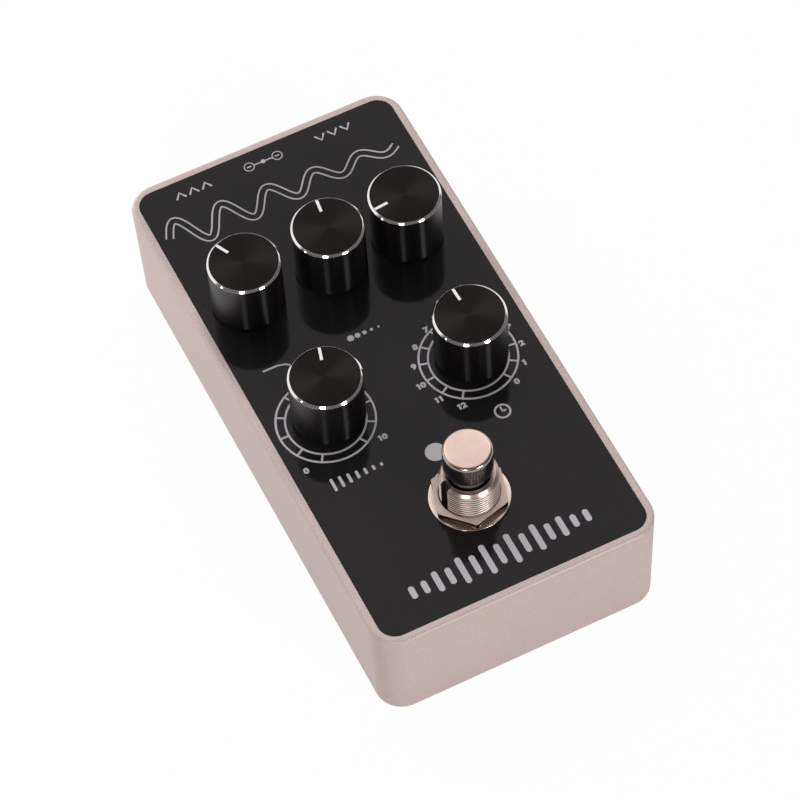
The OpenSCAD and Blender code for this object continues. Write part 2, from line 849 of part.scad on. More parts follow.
// Return spring: one round wire wound on a helix, closed at both ends
module switch_spring() {
  rows = coil_turns * coil_steps;
  slope = atan(coil_rise / (PI * coil_d * coil_turns));
  points = [for (i = [0 : rows], j = [0 : wire_sides - 1])
    let (a = 360 * i / coil_steps, b = 360 * j / wire_sides,
      out = wire_d / 2 * cos(b), up = wire_d / 2 * sin(b))
    [(coil_d / 2 + out) * cos(a) + up * sin(slope) * sin(a),
     (coil_d / 2 + out) * sin(a) - up * sin(slope) * cos(a),
     coil_rise * i / rows + up * cos(slope)]];
  sides = [for (i = [0 : rows - 1], j = [0 : wire_sides - 1])
    let (n = (j + 1) % wire_sides)
    [i * wire_sides + j, i * wire_sides + n, (i + 1) * wire_sides + n, (i + 1) * wire_sides + j]];
  ends = [[for (j = [wire_sides - 1 : -1 : 0]) j], [for (j = [0 : wire_sides - 1]) rows * wire_sides + j]];
  color(steel_c) translate([foot_x, foot_y, z_coil])
    polyhedron(points = points, faces = concat(sides, ends), convexity = coil_turns + 2);
}

module switch_terminals() {
  color(brass_c) for (s = [-1, 1]) translate([foot_x + s * terminal_x, foot_y, z_low - pin_out])
    cylinder(d = terminal_d, h = z_switch - z_low + pin_out);
}

// Plug socket: housing behind the wall and threaded bush through it
module plug_socket(x) {
  r = jack_bush_d / 2;
  bush_l = wall_t + jack_out;
  thread_z = wall_t + jack_washer_t + jack_nut_h;
  turns = floor((bush_l - jack_edge - thread_z) / jack_pitch);
  thread = thread_edge(r, thread_z, turns, jack_pitch, jack_groove);
  profile = concat([[0, -eps], [r, -eps]], thread, [[r, thread_z + turns * jack_pitch],
    [r, bush_l - jack_edge], [r - jack_edge, bush_l], [0, bush_l]]);
  color(rubber_c) difference() {
    union() {
      translate([x - jack_w / 2, y_in - jack_l, z_low_top]) cube([jack_w, jack_l, jack_h]);
      translate([x, y_in, z_jack]) rotate([-90, 0, 0]) rotate_extrude() polygon(profile);
    }
    along_y(x, z_jack, jack_bore_d, y_jack_end - jack_bore_l, y_jack_end + eps);
  }
}

module input_jack() {
  plug_socket(input_x);
}

module output_jack() {
  plug_socket(output_x);
}

module jack_nuts() {
  color(steel_c) for (x = jack_places) translate([x, y_out + jack_washer_t, z_jack]) rotate([-90, 0, 0])
    hex_nut(jack_nut_af, jack_nut_h, jack_bush_d + 2 * thread_gap);
}

module jack_washers() {
  color(steel_c) for (x = jack_places) translate([x, y_out, z_jack]) rotate([-90, 0, 0])
    ring(jack_washer_d, jack_bush_d + 2 * hole_gap, jack_washer_t);
}

module jack_pins() {
  color(brass_c) for (x = jack_places, y = jack_pin_rows, s = [-1, 1])
    translate([x + s * jack_pin_x, y_in - y, z_low - pin_out])
      cylinder(d = jack_pin_d, h = board_t + pin_out);
}

module power_jack() {
  color(rubber_c) difference() {
    union() {
      translate([power_x - power_w / 2, y_in - power_l, z_low_top]) cube([power_w, power_l, power_h]);
      along_y(power_x, z_power, power_barrel_d, y_in - eps, y_power_end);
    }
    along_y(power_x, z_power, power_bore_d, y_power_end - power_depth, y_power_end + eps);
  }
}

module power_pin() {
  color(brass_c) along_y(power_x, z_power, power_pin_d, y_power_end - power_depth,
    y_power_end - power_depth + power_pin_l);
}

casing();
base_plate();
base_screws();
base_pad();
face_plate();
light_window();
status_led();
main_board();
jack_board();
switch_board();
board_headers();
delay_chips();
capacitors();
pot_nuts();
pot_washers();
pot_pins();
tone_pot();
tone_shaft();
tone_insert();
tone_knob();
tone_pointer();
age_pot();
age_shaft();
age_insert();
age_knob();
age_pointer();
level_pot();
level_shaft();
level_insert();
level_knob();
level_pointer();
repeats_pot();
repeats_shaft();
repeats_insert();
repeats_knob();
repeats_pointer();
time_pot();
time_shaft();
time_insert();
time_knob();
time_pointer();
foot_button();
switch_bush();
switch_nut();
switch_washer();
switch_housing();
switch_spring();
switch_terminals();
input_jack();
output_jack();
jack_nuts();
jack_washers();
jack_pins();
power_jack();
power_pin();
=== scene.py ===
import json
import math

import bmesh
import bpy
from mathutils import Matrix, Vector

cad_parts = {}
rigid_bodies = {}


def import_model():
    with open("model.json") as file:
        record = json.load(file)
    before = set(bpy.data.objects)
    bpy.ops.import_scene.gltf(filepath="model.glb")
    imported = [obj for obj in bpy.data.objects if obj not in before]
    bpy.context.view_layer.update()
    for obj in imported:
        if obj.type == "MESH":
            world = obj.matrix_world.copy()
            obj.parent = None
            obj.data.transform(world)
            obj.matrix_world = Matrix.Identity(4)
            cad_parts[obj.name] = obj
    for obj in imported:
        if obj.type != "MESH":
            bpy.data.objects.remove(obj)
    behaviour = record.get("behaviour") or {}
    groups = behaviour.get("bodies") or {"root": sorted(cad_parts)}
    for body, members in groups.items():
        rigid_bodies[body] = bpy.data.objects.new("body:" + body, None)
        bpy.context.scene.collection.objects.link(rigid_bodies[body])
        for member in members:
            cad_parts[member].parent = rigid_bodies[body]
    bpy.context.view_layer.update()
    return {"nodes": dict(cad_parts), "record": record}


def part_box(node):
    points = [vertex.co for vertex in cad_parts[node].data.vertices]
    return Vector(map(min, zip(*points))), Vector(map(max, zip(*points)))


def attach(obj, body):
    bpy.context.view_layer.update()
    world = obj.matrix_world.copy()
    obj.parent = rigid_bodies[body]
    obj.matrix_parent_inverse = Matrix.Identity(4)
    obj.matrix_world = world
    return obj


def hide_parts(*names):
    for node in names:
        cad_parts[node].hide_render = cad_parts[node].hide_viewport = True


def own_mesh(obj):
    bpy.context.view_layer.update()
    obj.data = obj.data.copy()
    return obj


for leftover in list(bpy.data.objects):
    bpy.data.objects.remove(leftover)
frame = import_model()
mm = 0.001
print("frame loaded:", len(frame["nodes"]), "nodes")


# Camera, in degrees and millimetres, about a point on the face plate
cameraView = {
    "azimuth": -22.688,
    "elevation": 56.545,
    "roll": -4.248,
    "distance": 789.945,
    "target": (-2.077, -10.755, 27.0),
    "lens": 178.72,
    "sensor": 36.0,
    "clipStart": 10.0,
}


# Level directions to the camera's right and towards the camera
def levelAxes(view):
    azimuth = math.radians(view["azimuth"])
    return (Vector((math.cos(azimuth), math.sin(azimuth), 0)),
            Vector((math.sin(azimuth), -math.cos(azimuth), 0)))


def viewAxes(view):
    level, near = levelAxes(view)
    elevation = math.radians(view["elevation"])
    roll = math.radians(view["roll"])
    back = near * math.cos(elevation) + Vector((0, 0, math.sin(elevation)))
    rise = back.cross(level)
    right = math.cos(roll) * level + math.sin(roll) * rise
    up = math.cos(roll) * rise - math.sin(roll) * level
    return right, up, back


def placeCamera(view):
    right, up, back = viewAxes(view)
    data = bpy.data.cameras.new("photoCamera")
    data.lens = view["lens"]
    data.sensor_width = view["sensor"]
    data.clip_start = view["clipStart"] * mm
    camera = bpy.data.objects.new("photoCamera", data)
    bpy.context.scene.collection.objects.link(camera)
    spot = (Vector(view["target"]) + view["distance"] * back) * mm
    camera.matrix_world = Matrix.Translation(spot) @ Matrix((right, up, back)).transposed().to_4x4()
    bpy.context.scene.camera = camera


placeCamera(cameraView)
bpy.context.scene.view_settings.view_transform = "Standard"
print("camera placed")


# Wraps one socket of a node tree, so that shader maths reads as an expression
class Wire:
    def __init__(self, tree, socket=None):
        self.tree = tree
        self.socket = socket

    def node(self, kind, settings=None, values=None, out=0):
        made = self.tree.nodes.new(kind)
        for name, value in (settings or {}).items():
            setattr(made, name, value)
        for key, value in (values or {}).items():
            if isinstance(value, Wire):
                self.tree.links.new(value.socket, made.inputs[key])
            else:
                made.inputs[key].default_value = value
        return Wire(self.tree, made.outputs[out]) if made.outputs else None

    def calc(self, operation, *terms):
        return self.node("ShaderNodeMath", {"operation": operation}, dict(enumerate(terms)))

    def __add__(self, other):
        return self.calc("ADD", self, other)

    def __radd__(self, other):
        return self.calc("ADD", other, self)

    def __sub__(self, other):
        return self.calc("SUBTRACT", self, other)

    def __rsub__(self, other):
        return self.calc("SUBTRACT", other, self)

    def __mul__(self, other):
        return self.calc("MULTIPLY", self, other)

    def __rmul__(self, other):
        return self.calc("MULTIPLY", other, self)

    def __gt__(self, other):
        return self.calc("GREATER_THAN", self, other)

    def __lt__(self, other):
        return self.calc("LESS_THAN", self, other)


def shade(red, green, blue):
    return (red, green, blue, 1)


# A new material: gives the material, a wire in its tree and the object's own coordinates
def startMaterial(name):
    material = bpy.data.materials.new(name)
    material.use_nodes = True
    material.node_tree.nodes.clear()
    wire = Wire(material.node_tree)
    place = wire.node("ShaderNodeTexCoord", out="Object")
    return material, wire, place


def closeMaterial(wire, values):
    shader = wire.node("ShaderNodeBsdfPrincipled", None, values)
    wire.node("ShaderNodeOutputMaterial", None, {"Surface": shader})


def noise(wire, place, scale, detail=2.0, rough=0.5):
    return wire.node("ShaderNodeTexNoise", None,
                     {"Vector": place, "Scale": scale, "Detail": detail, "Roughness": rough})


def blendTone(wire, share, first, second):
    return wire.node("ShaderNodeMix", {"data_type": "RGBA"}, {0: share, 6: first, 7: second}, 2)


# Small relief, its depth in millimetres
def bump(wire, height, strength, depth):
    return wire.node("ShaderNodeBump", None,
                     {"Height": height, "Strength": strength, "Distance": depth * mm})


# Level distance from the upright axis through a spot in metres, given in millimetres
def radiusFrom(wire, place, spot):
    flat = wire.node("ShaderNodeVectorMath", {"operation": "MULTIPLY"}, {0: place, 1: (1, 1, 0)})
    arm = wire.node("ShaderNodeVectorMath", {"operation": "DISTANCE"},
                    {0: flat, 1: (spot[0], spot[1], 0)}, "Value")
    return arm * (1 / mm)


paint = {
    "light": shade(0.602, 0.484, 0.461),
    "dark": shade(0.498, 0.396, 0.374),
    "flakeSize": 0.24,
    "grainSize": 0.40,
    "cloudSize": 14.0,
    "flakeShare": 0.9,
    "grainShare": 1.1,
    "cloudShare": 0.5,
    "toneDrop": 0.75,
    "metal": 0.18,
    "roughness": 0.46,
    "baseRoughness": 0.52,
    "glintSpread": 0.16,
    "flakeRelief": 0.4,
    "relief": 0.26,
    "reliefDepth": 0.02,
}


# Satin paint with fine metal flakes
def casingPaint(name, settings):
    material, wire, place = startMaterial(name)
    flakes = wire.node("ShaderNodeTexVoronoi", None,
                       {"Vector": place, "Scale": 1 / (settings["flakeSize"] * mm)}, "Color")
    glint = wire.node("ShaderNodeSeparateColor", None, {0: flakes})
    grain = noise(wire, place, 1 / (settings["grainSize"] * mm), 3)
    cloud = noise(wire, place, 1 / (settings["cloudSize"] * mm))
    share = glint * settings["flakeShare"] + grain * settings["grainShare"] + cloud * settings["cloudShare"]
    tone = blendTone(wire, share - settings["toneDrop"], settings["dark"], settings["light"])
    skin = glint * settings["flakeRelief"] + grain
    closeMaterial(wire, {
        "Base Color": tone,
        "Metallic": settings["metal"],
        "Roughness": settings["roughness"] + (glint - 0.5) * settings["glintSpread"],
        "Normal": bump(wire, skin, settings["relief"], settings["reliefDepth"]),
    })
    return material


gloss = {
    "base": shade(0.0105, 0.0096, 0.0099),
    "dust": shade(0.09, 0.085, 0.085),
    "specular": 0.225,
    "tint": shade(1.0, 0.93, 0.945),
    "roughness": 0.075,
    "dustSize": 3.2,
    "dustReach": 0.035,
    "dustPatchScale": 160,
    "dustPatchEdge": 0.6,
    "dustTone": 0.5,
    "dustRoughness": 0.3,
    "hazeScale": 70,
    "hazeSpread": 0.03,
    "rippleScale": 110,
    "ripple": 0.04,
    "rippleDepth": 0.05,
}


# Polished black plate with a little dust on it
def plateGloss(settings):
    material, wire, place = startMaterial("plateGloss")
    cells = wire.node("ShaderNodeTexVoronoi", None,
                      {"Vector": place, "Scale": 1 / (settings["dustSize"] * mm)}, "Distance")
    dusty = noise(wire, place, settings["dustPatchScale"]) > settings["dustPatchEdge"]
    speck = (cells < settings["dustReach"]) * dusty
    haze = noise(wire, place, settings["hazeScale"], 4)
    tone = blendTone(wire, speck * settings["dustTone"], settings["base"], settings["dust"])
    swell = noise(wire, place, settings["rippleScale"])
    dull = haze * settings["hazeSpread"] + speck * settings["dustRoughness"]
    closeMaterial(wire, {
        "Base Color": tone,
        "Roughness": settings["roughness"] + dull,
        "Specular IOR Level": settings["specular"],
        "Specular Tint": settings["tint"],
        "Normal": bump(wire, swell, settings["ripple"], settings["rippleDepth"]),
    })
    return material


ink = {
    "tone": shade(0.500, 0.470, 0.512),
    "worn": shade(0.450, 0.422, 0.462),
    "thickness": 0.02,
    "patchScale": 900,
    "roughness": 0.38,
    "spread": 0.2,
    "relief": 0.15,
    "reliefDepth": 0.01,
}


# Screen-printed ink
def printInk(name, settings):
    material, wire, place = startMaterial(name)
    patch = noise(wire, place, settings["patchScale"], 4)
    closeMaterial(wire, {
        "Base Color": blendTone(wire, patch, settings["tone"], settings["worn"]),
        "Roughness": settings["roughness"] + patch * settings["spread"],
        "Normal": bump(wire, patch, settings["relief"], settings["reliefDepth"]),
    })
    return material


anodised = {
    "base": shade(0.0030, 0.0022, 0.0022),
    "sheen": shade(0.0060, 0.0043, 0.0043),
    "tint": shade(1.0, 0.80, 0.80),
    "rings": 0.09,
    "patchScale": 500,
    "drawnOut": 1.0,
    "drawnTurn": 0.25,
    "topSpecular": 0.150,
    "topRoughness": 0.21,
    "ringSpread": 0.08,
    "topSpread": 0.05,
    "sideSpecular": 0.50,
    "sideRoughness": 0.20,
    "lineSpecular": 0.40,
    "lineRoughness": 0.24,
    "sideSpread": 0.02,
    "lineLean": 0.8,
    "lineShare": 0.08,
}


# Turned top of a knob, black anodised: fine rings from the lathe
def knobTop(name, spot, settings):
    material, wire, place = startMaterial(name)
    radius = radiusFrom(wire, place, spot)
    rings = noise(wire, wire.node("ShaderNodeCombineXYZ", None, {0: radius}), 1 / settings["rings"], 2)
    patch = noise(wire, place, settings["patchScale"], 3)
    dull = rings * settings["ringSpread"] + patch * settings["topSpread"]
    closeMaterial(wire, {
        "Base Color": blendTone(wire, rings, settings["base"], settings["sheen"]),
        "Roughness": settings["topRoughness"] + dull,
        "Specular IOR Level": settings["topSpecular"],
        "Specular Tint": settings["tint"],
        "Anisotropic": settings["drawnOut"],
        "Anisotropic Rotation": settings["drawnTurn"],
    })
    return material


# Turned side of the knobs: a smooth side mixed with fine lines that lean up and draw out each lamp
def knobSide(settings):
    material, wire, place = startMaterial("knobSide")
    patch = noise(wire, place, settings["patchScale"], 3)
    spread = patch * settings["sideSpread"]
    tone = blendTone(wire, patch, settings["base"], settings["sheen"])
    leaned = wire.node("ShaderNodeVectorMath", {"operation": "ADD"}, {
        0: wire.node("ShaderNodeNewGeometry", out="Normal"), 1: (0, 0, settings["lineLean"])})
    layers = []
    for layer in ("side", "line"):
        values = {
            "Base Color": tone,
            "Roughness": settings[layer + "Roughness"] + spread,
            "Specular IOR Level": settings[layer + "Specular"],
            "Anisotropic": settings["drawnOut"],
            "Anisotropic Rotation": settings["drawnTurn"],
        }
        if layer == "line":
            values["Normal"] = wire.node("ShaderNodeVectorMath", {"operation": "NORMALIZE"}, {0: leaned})
        layers.append(wire.node("ShaderNodeBsdfPrincipled", None, values))
    mixed = wire.node("ShaderNodeMixShader", None,
                      {0: settings["lineShare"] + spread, 1: layers[0], 2: layers[1]})
    wire.node("ShaderNodeOutputMaterial", None, {"Surface": mixed})
    return material


cutMetal = {
    "light": shade(0.92, 0.88, 0.86),
    "dark": shade(0.80, 0.76, 0.74),
    "patchScale": 2500,
    "roughness": 0.05,
    "spread": 0.04,
    "relief": 0.08,
    "reliefDepth": 0.01,
}


# Bare diamond-cut aluminium
def cutEdge(settings):
    material, wire, place = startMaterial("cutEdge")
    patch = noise(wire, place, settings["patchScale"], 3)
    closeMaterial(wire, {
        "Base Color": blendTone(wire, patch, settings["dark"], settings["light"]),
        "Metallic": 1.0,
        "Roughness": settings["roughness"] + patch * settings["spread"],
        "Normal": bump(wire, patch, settings["relief"], settings["reliefDepth"]),
    })
    return material


plated = {
    "light": shade(0.67, 0.550, 0.490),
    "dark": shade(0.54, 0.430, 0.378),
    "satinLight": shade(0.80, 0.600, 0.520),
    "satinDark": shade(0.70, 0.520, 0.445),
    "roughness": 0.20,
    "satin": 0.16,
    "satinMetal": 1.0,
    "patchSize": 1.6,
    "grainSize": 0.3,
    "stainGain": 1.8,
    "stainDrop": 0.4,
    "spread": 0.08,
    "relief": 0.06,
    "reliefDepth": 0.01,
}
# Lighter copy of the plating for the thread's crests: painted light
threadCrestPaintedLight = {
    **plated,
    "light": shade(0.80, 0.652, 0.580),
    "dark": shade(0.68, 0.547, 0.482),
    "roughness": 0.39,
}
# Near-black copy of the plating: painted shade at the roots of the thread and on the neck inside the bush
paintedShadeMetal = {
    **plated,
    "light": shade(0.030, 0.024, 0.021),
    "dark": shade(0.018, 0.014, 0.012),
    "roughness": 0.50,
}
collarMetal = {
    **plated,
    "light": shade(0.56, 0.455, 0.405),
    "dark": shade(0.45, 0.356, 0.313),
    "roughness": 0.27,
}
# Button plating: darker tones on the polished side as painted shade, lighter tones on the satin top as
# painted light over its satin finish
buttonMetal = {
    **plated,
    "light": shade(0.48, 0.402, 0.362),
    "dark": shade(0.39, 0.320, 0.282),
    "satinLight": shade(0.72, 0.545, 0.472),
    "satinDark": shade(0.64, 0.478, 0.409),
    "roughness": 0.18,
    "satin": 0.10,
}
# Darker satin tones for the neck: painted shade under the button's head
neckMetal = {
    **plated,
    "satinLight": shade(0.52, 0.400, 0.345),
    "satinDark": shade(0.42, 0.318, 0.272),
    "satinMetal": 0.75,
}
# Nut plating: darker flats as painted shade, and a lighter, barely metallic satin top as painted light over
# a rougher finish
nutMetal = {
    **plated,
    "light": shade(0.42, 0.335, 0.295),
    "dark": shade(0.33, 0.262, 0.230),
    "satinLight": shade(0.600, 0.455, 0.392),
    "satinDark": shade(0.540, 0.405, 0.347),
    "satinMetal": 0.10,
    "roughness": 0.10,
    "satin": 0.24,
}


# Warm bright plating: polished on its sides, satin above the height satinFrom, with faint stains
def platedMetal(name, settings, satinFrom=None):
    material, wire, place = startMaterial(name)
    patch = noise(wire, place, 1 / (settings["patchSize"] * mm), 5, 0.65)
    fine = noise(wire, place, 1 / (settings["grainSize"] * mm), 2)
    stain = patch * settings["stainGain"] - settings["stainDrop"]
    tone = blendTone(wire, stain, settings["light"], settings["dark"])
    roughness = settings["roughness"] + patch * settings["spread"]
    metal = 1.0
    if satinFrom is not None:
        height = wire.node("ShaderNodeSeparateXYZ", None, {0: place}, "Z")
        satin = height > satinFrom * mm
        satinTone = blendTone(wire, stain, settings["satinLight"], settings["satinDark"])
        tone = blendTone(wire, satin, tone, satinTone)
        roughness = roughness + satin * settings["satin"]
        metal = 1 - satin * (1 - settings["satinMetal"])
    closeMaterial(wire, {
        "Base Color": tone,
        "Metallic": metal,
        "Roughness": roughness,
        "Normal": bump(wire, fine, settings["relief"], settings["reliefDepth"]),
    })
    return material


# Hidden or small finishes: two tones, metal share, roughness, grain in millimetres and relief
plainFinishes = {
    "rubber": (shade(0.022, 0.022, 0.023), shade(0.014, 0.014, 0.015), 0.0, 0.72, 0.7, 0.6),
    "black_plastic": (shade(0.020, 0.020, 0.021), shade(0.012, 0.012, 0.013), 0.0, 0.42, 0.35, 0.25),
    "pointer_white": (shade(0.92, 0.90, 0.89), shade(0.82, 0.80, 0.79), 0.0, 0.42, 0.2, 0.1),
    "brass": (shade(0.80, 0.62, 0.33), shade(0.66, 0.49, 0.25), 1.0, 0.28, 0.4, 0.1),
    "spring_steel": (shade(0.62, 0.61, 0.60), shade(0.48, 0.47, 0.46), 1.0, 0.30, 0.3, 0.1),
    "steel": (shade(0.74, 0.71, 0.68), shade(0.60, 0.58, 0.56), 1.0, 0.26, 0.5, 0.1),
    # The lens tones are raised to stand in for light coming through the window: painted light
    "lens": (shade(0.640, 0.580, 0.605), shade(0.590, 0.535, 0.560), 0.0, 0.32, 0.6, 0.05),
}


plainGrain = {
    "spread": 0.12,
    "reliefDepth": 0.03,
}


def plainFinish(name, light, dark, metal, roughness, grain, relief):
    material, wire, place = startMaterial(name)
    patch = noise(wire, place, 1 / (grain * mm), 4)
    closeMaterial(wire, {
        "Base Color": blendTone(wire, patch, light, dark),
        "Metallic": metal,
        "Roughness": roughness + (patch - 0.5) * plainGrain["spread"],
        "Normal": bump(wire, patch, relief, plainGrain["reliefDepth"]),
    })
    return material


board = {
    "mask": shade(0.020, 0.105, 0.045),
    "track": shade(0.035, 0.165, 0.070),
    "trackSize": 2.2,
    "gap": 0.08,
    "roughness": 0.34,
    "trackPolish": 0.08,
    "relief": 0.3,
    "reliefDepth": 0.03,
}


# Green solder mask over copper tracks
def circuitBoard(settings):
    material, wire, place = startMaterial("circuitBoard")
    steps = wire.node("ShaderNodeTexBrick", None, {
        "Vector": place, "Scale": 1 / (settings["trackSize"] * mm), "Color1": shade(1, 1, 1),
        "Color2": shade(0, 0, 0), "Mortar": shade(0, 0, 0), "Mortar Size": settings["gap"]})
    track = wire.node("ShaderNodeSeparateColor", None, {0: steps})
    closeMaterial(wire, {
        "Base Color": blendTone(wire, track, settings["mask"], settings["track"]),
        "Roughness": settings["roughness"] - track * settings["trackPolish"],
        "Normal": bump(wire, track, settings["relief"], settings["reliefDepth"]),
    })
    return material


finishes = {
    "casing_paint": casingPaint("casingPaint", paint),
    "base_metal": casingPaint("basePaint", {**paint, "roughness": paint["baseRoughness"]}),
    "face_gloss": plateGloss(gloss),
    "nickel": platedMetal("brightNickel", plated),
    "board": circuitBoard(board),
}
for slotName, settings in plainFinishes.items():
    finishes[slotName] = plainFinish(slotName, *settings)
inkMaterial = printInk("printInk", ink)
edgeMaterial = cutEdge(cutMetal)
sideMaterial = knobSide(anodised)
print("materials made:", len(finishes) + 3)


for part in frame["record"]["subparts"]:
    if part["material_slot"] in finishes:
        frame["nodes"][part["node"]].material_slots[0].material = finishes[part["material_slot"]]


# Closes a mesh made in millimetres into a piece that rides on a body
def addPiece(name, form, body, materials, replaced=()):
    bmesh.ops.remove_doubles(form, verts=form.verts, dist=1e-5)
    bmesh.ops.recalc_face_normals(form, faces=form.faces)
    mesh = bpy.data.meshes.new(name)
    form.to_mesh(mesh)
    form.free()
    mesh.transform(Matrix.Scale(mm, 4))
    for material in materials:
        mesh.materials.append(material)
    mesh.shade_smooth()
    mesh.set_sharp_from_angle(angle=math.radians(32))
    piece = bpy.data.objects.new(name, mesh)
    bpy.context.scene.collection.objects.link(piece)
    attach(piece, body)
    if replaced:
        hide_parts(*replaced)
    return piece


# Box of a node in millimetres
def boxOf(node):
    low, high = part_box(node)
    return low / mm, high / mm


def middleOf(node):
    low, high = boxOf(node)
    return (low + high) / 2


# Rounds the corners of a profile: each point is (radius, height, corner radius)
def softProfile(points, steps=4):
    soft = []
    for index, (radius, height, corner) in enumerate(points):
        here = Vector((radius, height))
        if not corner or index in (0, len(points) - 1):
            soft.append(here)
            continue
        before = (Vector(points[index - 1][:2]) - here).normalized()
        after = (Vector(points[index + 1][:2]) - here).normalized()
        half = before.angle(after) / 2
        reach = corner / math.tan(half)
        centre = here + (before + after).normalized() * (corner / math.sin(half))
        first = here + before * reach - centre
        last = here + after * reach - centre
        for step in range(steps + 1):
            arm = first.lerp(last, step / steps).normalized() * corner
            soft.append(centre + arm)
    return soft


# Joins loops of points into one skin: ring joins the last loop to the first, capped closes both ends, and
# tint picks a face's material
def loft(form, loops, ring=False, capped=False, tint=None, place=Matrix()):
    rows = [[form.verts.new(place @ Vector(point)) for point in loop] for loop in loops]
    count = len(rows[0])
    for k in range(len(rows) if ring else len(rows) - 1):
        here = rows[k]
        after = rows[(k + 1) % len(rows)]
        for c in range(count):
            face = form.faces.new((here[c], here[(c + 1) % count], after[(c + 1) % count], after[c]))
            if tint:
                face.material_index = tint(k, c)
    if capped:
        form.faces.new(rows[0])
        form.faces.new(rows[-1])


def onCircle(centre, radius, angle):
    turn = math.radians(angle)
    return (centre[0] + radius * math.cos(turn), centre[1] + radius * math.sin(turn))


def roundLoop(radius, height, angles):
    return [(radius * math.cos(angle), radius * math.sin(angle), height) for angle in angles]


# Turns a profile about its axis
def turned(form, profile, place, tint=None, columns=160):
    angles = [2 * math.pi * k / columns for k in range(columns)]
    loft(form, [roundLoop(point.x, point.y, angles) for point in profile], tint=tint, place=place)


knob = {
    "edge": 0.40,
    "edgeRound": 0.05,
    "footRound": 0.25,
    "sideMargin": 0.40,
    "wall": 1.3,
    "topThickness": 1.5,
    "pointerProud": 0.02,
    "pointerDepth": 0.1,
    "pointerTrim": 0.05,
}


# Knob with a bright cut edge, and its pointer line
def addKnob(control, settings):
    low, high = boxOf(control + "_knob")
    spot = (low + high) / 2
    radius = (high.x - low.x) / 2
    edge = settings["edge"]
    bore = radius - settings["wall"]
    ceiling = high.z - settings["topThickness"]
    profile = softProfile([
        (0, high.z, 0),
        (radius - edge, high.z, settings["edgeRound"]),
        (radius, high.z - edge, settings["edgeRound"]),
        (radius, high.z - edge - settings["sideMargin"], 0),
        (radius, low.z + settings["sideMargin"], 0),
        (radius, low.z, settings["footRound"]),
        (bore, low.z, settings["footRound"]),
        (bore, ceiling, 0),
        (0, ceiling, 0),
    ])
    cut = high.z - edge - settings["edgeRound"]

    # Turned top, bright cut edge, then the side
    def knobShade(row, column):
        middle = (profile[row] + profile[row + 1]) / 2
        if middle.y < cut:
            return 2
        return int(middle.x > radius - edge - settings["edgeRound"] / 2)

    top = knobTop(control + "KnobTop", spot * mm, anodised)
    form = bmesh.new()
    turned(form, profile, Matrix.Translation((spot.x, spot.y, 0)), knobShade)
    addPiece(control + "_knob_body", form, control + "_control",
             [top, edgeMaterial, sideMaterial], [control + "_knob"])
    addPointer(control, spot, high.z, settings)


def addPointer(control, spot, top, settings):
    pointer = frame["nodes"][control + "_pointer"]
    corners = [vertex.co / mm for vertex in pointer.data.vertices]
    along = (middleOf(control + "_pointer") - spot).xy.normalized()
    across = Vector((-along.y, along.x))
    reach = [(corner - spot).xy.dot(along) for corner in corners]
    side = max((corner - spot).xy.dot(across) for corner in corners) - settings["pointerTrim"]
    outline = [spot.xy + along * end + across * (edge * side)
               for end, edge in ((min(reach), -1), (max(reach), -1), (max(reach), 1), (min(reach), 1))]
    form = bmesh.new()
    prism(form, outline, top - settings["pointerDepth"], top + settings["pointerProud"])
    addPiece(control + "_pointer_line", form, control + "_control",
             [finishes["pointer_white"]], [control + "_pointer"])


# Upright prism on a flat outline
def prism(form, outline, low, high):
    loft(form, [[(point[0], point[1], level) for point in outline] for level in (low, high)], capped=True)


plateTop = boxOf("face_plate")[1].z
controls = ("tone", "age", "level", "repeats", "time")
for control in controls:
    addKnob(control, knob)
print("knobs made:", len(controls))


# Foot button: head on a neck, held in the switch by a flange
button = {
    "headRadius": 5.0,
    "headHeight": 5.8,
    "crown": 0.8,
    "footRound": 0.3,
    "neckRadius": 3.85,
    "neckRound": 0.2,
    "flangeHeight": 1.5,
    "satinDepth": 0.05,
}


def addButton(settings):
    low, high = boxOf("foot_button")
    flangeRadius = (high.x - low.x) / 2
    flangeTop = low.z + settings["flangeHeight"]
    headFoot = high.z - settings["headHeight"]
    collarTop = boxOf("switch_bush")[1].z
    profile = softProfile([
        (0, low.z, 0),
        (flangeRadius, low.z, settings["neckRound"]),
        (flangeRadius, flangeTop, settings["neckRound"]),
        (settings["neckRadius"], flangeTop, 0),
        (settings["neckRadius"], collarTop, 0),
        (settings["neckRadius"], headFoot, settings["neckRound"]),
        (settings["headRadius"], headFoot, settings["footRound"]),
        (settings["headRadius"], high.z, settings["crown"]),
        (0, high.z, 0),
    ], 7)

    # Bright head, a darker and warmer neck as painted shade under the head, and near-black painted shade
    # where the neck stays inside the bush
    def buttonShade(row, column):
        if profile[row + 1].y <= collarTop:
            return 2
        return int(profile[row + 1].y <= headFoot)

    form = bmesh.new()
    turned(form, profile, Matrix.Translation((*middleOf("switch_nut").xy, 0)), buttonShade)
    metals = [platedMetal("buttonNickel", buttonMetal, high.z - settings["satinDepth"]),
              platedMetal("neckNickel", neckMetal, low.z),
              platedMetal("neckPaintedShade", paintedShadeMetal)]
    addPiece("foot_button_turned", form, "foot_push", metals, ["foot_button"])


addButton(button)


# Threaded bush of the footswitch, with a key slot down its left side
bush = {
    "bore": 4.2,
    "mouth": 4.5,
    "mouthDepth": 1.1,
    "mouthRound": 0.08,
    "cone": 0.64,
    "coneRound": 0.16,
    "pitch": 0.75,
    "depth": 0.45,
    "rootShare": 0.34,
    "threadUnderNut": 0.5,
    "slotHalf": 1.1,
    "slotDepth": 1.0,
    "turn": 8,
    "stepsPerTurn": 10,
    "columns": 170,
    "seam": 0.02,
}


